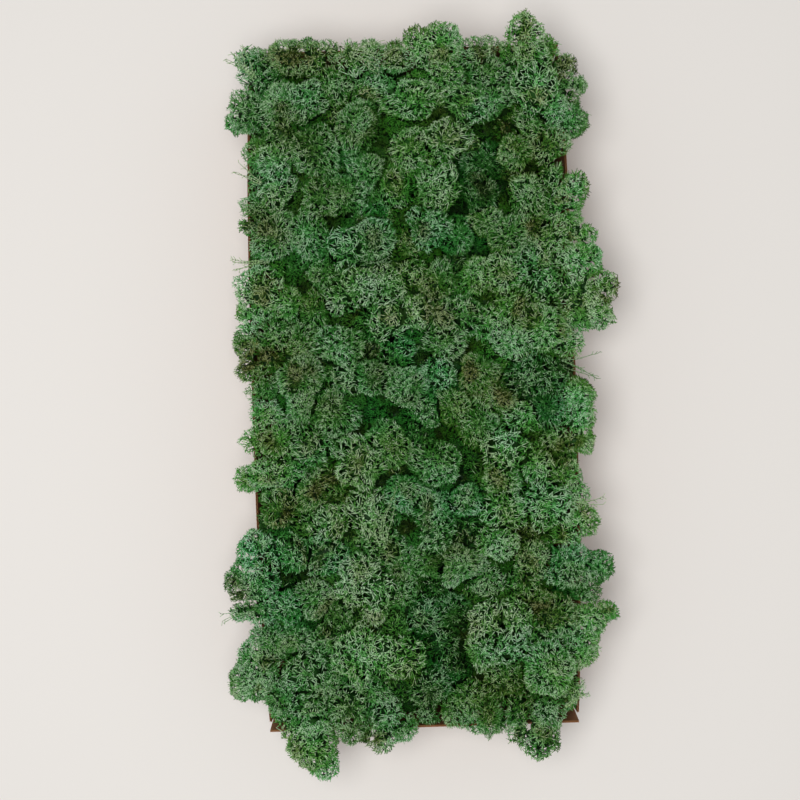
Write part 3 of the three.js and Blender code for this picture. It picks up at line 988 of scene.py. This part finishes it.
def add_sheet(bm, wall, side, columns, stops, depth_at, thickness):
    """Adds a sheet of paper to a wall, with columns along it and rows at the stops up it. depth_at is how
    far the sheet's outer side lies below the outer face."""
    axis, across, half = wall
    inwards = side * (1, -1)[axis]
    verts = bmesh.ops.create_grid(bm, x_segments=columns, y_segments=len(stops) - 1, size=1)["verts"]
    for vert in verts:
        along = half * vert.co.x
        up = stops[round((vert.co.y + 1) / 2 * (len(stops) - 1))]
        depth = depth_at(along, up)
        turn = min(up / FOLD, math.pi / 2)
        z = FOLD - (FOLD - depth) * math.cos(turn) + max(up - FOLD_LENGTH, 0)
        out = across - FOLD + (FOLD - depth) * math.sin(turn)
        out += z / RIM * side_give(np.float64(along))[axis]
        place = (out * side, along, z) if axis == 0 else (along, out * side, z)
        vert.co = [MM * value for value in place]
    faces = list({face for vert in verts for face in vert.link_faces})
    bm.normal_update()
    bmesh.ops.solidify(bm, geom=faces, thickness=inwards * thickness * MM)


def add_wall(bm, wall, side):
    """Adds a wall of corrugated board: two liners and the wavy paper between them, whose flutes stand
    upright in a long wall and lie in an end wall."""
    top = FOLD_LENGTH + RIM - FOLD
    liner_stops = [FOLD_LENGTH * row / FOLD_ROWS for row in range(FOLD_ROWS + 1)] + [top]
    for depth in (0, BOARD - LINER):
        add_sheet(bm, wall, side, LINER_COLUMNS, liner_stops, lambda along, up: depth, LINER)
    reach = (BOARD - 2 * LINER - MEDIUM) / 2
    if wall is LONG_WALL:
        columns = WAVE_COLUMNS * round(2 * wall[2] / PITCH)
        stops = [FOLD_LENGTH, top]
    else:
        columns = 1
        rows = WAVE_COLUMNS * round((top - FOLD_LENGTH) / PITCH)
        stops = [FOLD_LENGTH + (top - FOLD_LENGTH) * row / rows for row in range(rows + 1)]

    def wave(along, up):
        run = along if wall is LONG_WALL else up
        return (BOARD - MEDIUM) / 2 + reach * math.sin(2 * math.pi * run / PITCH)

    add_sheet(bm, wall, side, columns, stops, wave, MEDIUM)


def build_tray():
    """Makes the tray of its four walls and its bottom."""
    bm = bmesh.new()
    for wall in (LONG_WALL, END_WALL):
        for side in (-1, 1):
            add_wall(bm, wall, side)
    size = (*(2 * (OUTER_HALF - FOLD + LINER)), BOARD)
    bottom = bmesh.ops.create_cube(bm, size=MM)["verts"]
    bmesh.ops.scale(bm, vec=size, verts=bottom)
    bmesh.ops.translate(bm, vec=(0, 0, BOARD / 2 * MM), verts=bottom)
    bmesh.ops.recalc_face_normals(bm, faces=bm.faces)
    mesh = bpy.data.meshes.new("corrugated_tray")
    bm.to_mesh(mesh)
    bm.free()
    add_piece("corrugated_tray", mesh, "board_tray", "kraft_board")


TWIG = twig_shape()
CORE = core_ball()
SHEAF = stem_sheaf()
materials = {name: moss_material(name) for name in MOSS_DYES_AND_DEPTH_SHADE}
materials["kraft_board"] = kraft_board()
build_moss()
build_tray()


# ---- stage ----

# Lengths here are in metres. The camera looks straight down, a little off the tray's middle and turned.
CAMERA_HEIGHT = 1.6
LENS = 79.0
VIEW_TURN = math.radians(1.8)
VIEW_MIDDLE = (-0.0123, -0.0099)
FLOOR_HALF = 3
FLOOR_COLOUR = "#e8e4df"
ROOM_LIGHT = 0.4
KEY_PLACE, KEY_SIZE, KEY_ENERGY = (-0.25, -0.1, 2.2), 1.0, 32


def add_light(name, place, size, energy):
    """Adds a round soft light that faces the middle of the floor."""
    light = bpy.data.objects.new(name, bpy.data.lights.new(name, "AREA"))
    light.data.shape = "DISK"
    light.data.size = size
    light.data.energy = energy
    light.location = place
    light.rotation_euler = light.location.to_track_quat("Z", "Y").to_euler()
    bpy.context.scene.collection.objects.link(light)


def build_stage():
    """Makes the floor, the camera, the room's light and the key light."""
    scene = bpy.context.scene
    bm = bmesh.new()
    bmesh.ops.create_grid(bm, x_segments=1, y_segments=1, size=FLOOR_HALF)
    floor_mesh = bpy.data.meshes.new("floor")
    bm.to_mesh(floor_mesh)
    bm.free()
    floor = bpy.data.objects.new("floor", floor_mesh)
    scene.collection.objects.link(floor)
    paint, _, shader = new_material("floor_paint", roughness=0.7, specular=0.3)
    shader.inputs["Base Color"].default_value = colour(FLOOR_COLOUR)
    floor_mesh.materials.append(paint)

    camera = bpy.data.objects.new("camera", bpy.data.cameras.new("camera"))
    camera.data.lens = LENS
    camera.location = (*VIEW_MIDDLE, CAMERA_HEIGHT)
    camera.rotation_euler = (0, 0, -VIEW_TURN)
    scene.collection.objects.link(camera)
    scene.camera = camera

    world = bpy.data.worlds.new("soft_room")
    world.use_nodes = True
    background = world.node_tree.nodes["Background"]
    background.inputs["Color"].default_value = (1, 1, 1, 1)
    background.inputs["Strength"].default_value = ROOM_LIGHT
    scene.world = world
    add_light("key_light", KEY_PLACE, KEY_SIZE, KEY_ENERGY)
    scene.view_settings.view_transform = "Standard"


build_stage()
